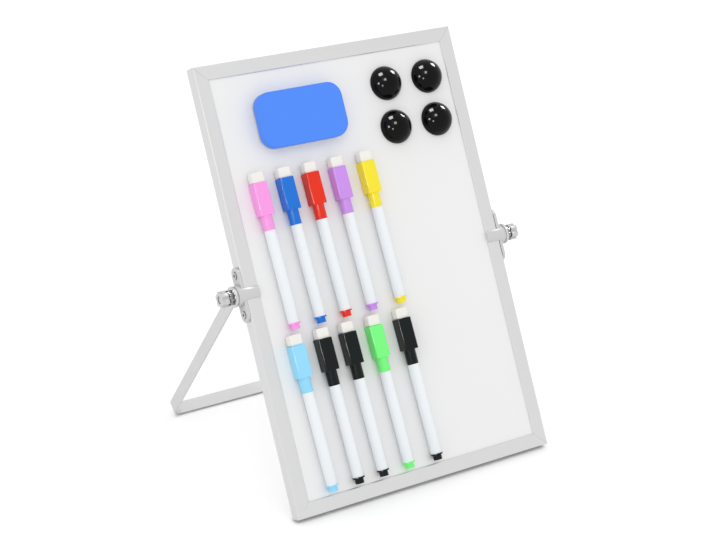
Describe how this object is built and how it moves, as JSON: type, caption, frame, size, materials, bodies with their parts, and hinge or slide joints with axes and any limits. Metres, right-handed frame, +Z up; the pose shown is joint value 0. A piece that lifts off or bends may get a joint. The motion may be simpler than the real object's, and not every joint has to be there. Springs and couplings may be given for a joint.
{
  "type": "desk whiteboard easel",
  "caption": "Two-sided magnetic desk whiteboard turning on friction pivots in a U-shaped metal stand, with magnetic markers, dome magnets and an eraser.",
  "frame": {"origin": "on the desk under the middle of the easel's box, as it stands leaning back", "axes": "+X to the right seen from the front, +Y to the back, +Z up"},
  "size_m": [0.2312, 0.1843, 0.2712],
  "materials": {
    "rail_aluminium": "satin",
    "key_plastic": "matte",
    "writing_steel": "gloss",
    "core_fibre": "matte",
    "bracket_plastic": "satin",
    "screw_steel": "satin",
    "bolt_steel": "satin",
    "washer_nylon": "matte",
    "collar_chrome": "polished",
    "knob_plastic": "satin",
    "stand_aluminium": "satin",
    "eraser_foam": "matte",
    "eraser_felt": "matte",
    "magnet_ferrite": "matte",
    "dome_plastic": "gloss",
    "barrel_plastic": "gloss",
    "cap_felt": "matte",
    "cap_pink": "gloss",
    "cap_blue": "gloss",
    "cap_red": "gloss",
    "cap_purple": "gloss",
    "cap_yellow": "gloss",
    "cap_light_blue": "gloss",
    "cap_black": "gloss",
    "cap_green": "gloss"
  },
  "bodies": {
    "stand": {"stand_frame": "stand_aluminium"},
    "board": {"frame_rail_top": "rail_aluminium", "frame_rail_bottom": "rail_aluminium", "frame_rail_left": "rail_aluminium", "frame_rail_right": "rail_aluminium", "corner_keys": "key_plastic", "front_sheet": "writing_steel", "back_sheet": "writing_steel", "core_board": "core_fibre", "hinge_bracket_left": "bracket_plastic", "hinge_bracket_right": "bracket_plastic", "bracket_screws": "screw_steel", "pivot_bolts": "bolt_steel", "thrust_washers": "washer_nylon", "lock_collar_left": "collar_chrome", "lock_collar_right": "collar_chrome"},
    "knob_left": {"knob_left": "knob_plastic"},
    "knob_right": {"knob_right": "knob_plastic"},
    "eraser": {"eraser_body": "eraser_foam", "eraser_felt": "eraser_felt", "eraser_magnet": "magnet_ferrite"},
    "dome_upper_left": {"dome_upper_left": "dome_plastic", "dome_magnet_upper_left": "magnet_ferrite"},
    "dome_upper_right": {"dome_upper_right": "dome_plastic", "dome_magnet_upper_right": "magnet_ferrite"},
    "dome_lower_left": {"dome_lower_left": "dome_plastic", "dome_magnet_lower_left": "magnet_ferrite"},
    "dome_lower_right": {"dome_lower_right": "dome_plastic", "dome_magnet_lower_right": "magnet_ferrite"},
    "marker_pink": {"marker_pink_cap_and_plug": "cap_pink", "marker_pink_barrel": "barrel_plastic", "marker_pink_felt": "cap_felt"},
    "marker_blue": {"marker_blue_cap_and_plug": "cap_blue", "marker_blue_barrel": "barrel_plastic", "marker_blue_felt": "cap_felt"},
    "marker_red": {"marker_red_cap_and_plug": "cap_red", "marker_red_barrel": "barrel_plastic", "marker_red_felt": "cap_felt"},
    "marker_purple": {"marker_purple_cap_and_plug": "cap_purple", "marker_purple_barrel": "barrel_plastic", "marker_purple_felt": "cap_felt"},
    "marker_yellow": {"marker_yellow_cap_and_plug": "cap_yellow", "marker_yellow_barrel": "barrel_plastic", "marker_yellow_felt": "cap_felt"},
    "marker_light_blue": {"marker_light_blue_cap_and_plug": "cap_light_blue", "marker_light_blue_barrel": "barrel_plastic", "marker_light_blue_felt": "cap_felt"},
    "marker_black_1": {"marker_black_1_cap_and_plug": "cap_black", "marker_black_1_barrel": "barrel_plastic", "marker_black_1_felt": "cap_felt"},
    "marker_black_2": {"marker_black_2_cap_and_plug": "cap_black", "marker_black_2_barrel": "barrel_plastic", "marker_black_2_felt": "cap_felt"},
    "marker_green": {"marker_green_cap_and_plug": "cap_green", "marker_green_barrel": "barrel_plastic", "marker_green_felt": "cap_felt"},
    "marker_black_3": {"marker_black_3_cap_and_plug": "cap_black", "marker_black_3_barrel": "barrel_plastic", "marker_black_3_felt": "cap_felt"}
  },
  "joints": [
    {"name": "board_tilt", "type": "hinge", "parent": "stand", "child": "board", "pos_m": [0, -0.01927, 0.13562], "axis": [1, 0, 0], "continuous": true},
    {"name": "knob_left_turn", "type": "hinge", "parent": "board", "child": "knob_left", "pos_m": [0, -0.01927, 0.13562], "axis": [1, 0, 0], "range_deg": [0, 360]},
    {"name": "knob_right_turn", "type": "hinge", "parent": "board", "child": "knob_right", "pos_m": [0, -0.01927, 0.13562], "axis": [1, 0, 0], "range_deg": [0, 360]},
    {"name": "eraser_lift", "type": "slide", "parent": "board", "child": "eraser", "axis": [0, -0.891, 0.454], "range_m": [0, 0.06]},
    {"name": "dome_upper_left_lift", "type": "slide", "parent": "board", "child": "dome_upper_left", "axis": [0, -0.891, 0.454], "range_m": [0, 0.06]},
    {"name": "dome_upper_right_lift", "type": "slide", "parent": "board", "child": "dome_upper_right", "axis": [0, -0.891, 0.454], "range_m": [0, 0.06]},
    {"name": "dome_lower_left_lift", "type": "slide", "parent": "board", "child": "dome_lower_left", "axis": [0, -0.891, 0.454], "range_m": [0, 0.06]},
    {"name": "dome_lower_right_lift", "type": "slide", "parent": "board", "child": "dome_lower_right", "axis": [0, -0.891, 0.454], "range_m": [0, 0.06]},
    {"name": "marker_pink_lift", "type": "slide", "parent": "board", "child": "marker_pink", "axis": [0, -0.891, 0.454], "range_m": [0, 0.06]},
    {"name": "marker_blue_lift", "type": "slide", "parent": "board", "child": "marker_blue", "axis": [0, -0.891, 0.454], "range_m": [0, 0.06]},
    {"name": "marker_red_lift", "type": "slide", "parent": "board", "child": "marker_red", "axis": [0, -0.891, 0.454], "range_m": [0, 0.06]},
    {"name": "marker_purple_lift", "type": "slide", "parent": "board", "child": "marker_purple", "axis": [0, -0.891, 0.454], "range_m": [0, 0.06]},
    {"name": "marker_yellow_lift", "type": "slide", "parent": "board", "child": "marker_yellow", "axis": [0, -0.891, 0.454], "range_m": [0, 0.06]},
    {"name": "marker_light_blue_lift", "type": "slide", "parent": "board", "child": "marker_light_blue", "axis": [0, -0.891, 0.454], "range_m": [0, 0.06]},
    {"name": "marker_black_1_lift", "type": "slide", "parent": "board", "child": "marker_black_1", "axis": [0, -0.891, 0.454], "range_m": [0, 0.06]},
    {"name": "marker_black_2_lift", "type": "slide", "parent": "board", "child": "marker_black_2", "axis": [0, -0.891, 0.454], "range_m": [0, 0.06]},
    {"name": "marker_green_lift", "type": "slide", "parent": "board", "child": "marker_green", "axis": [0, -0.891, 0.454], "range_m": [0, 0.06]},
    {"name": "marker_black_3_lift", "type": "slide", "parent": "board", "child": "marker_black_3", "axis": [0, -0.891, 0.454], "range_m": [0, 0.06]}
  ]
}
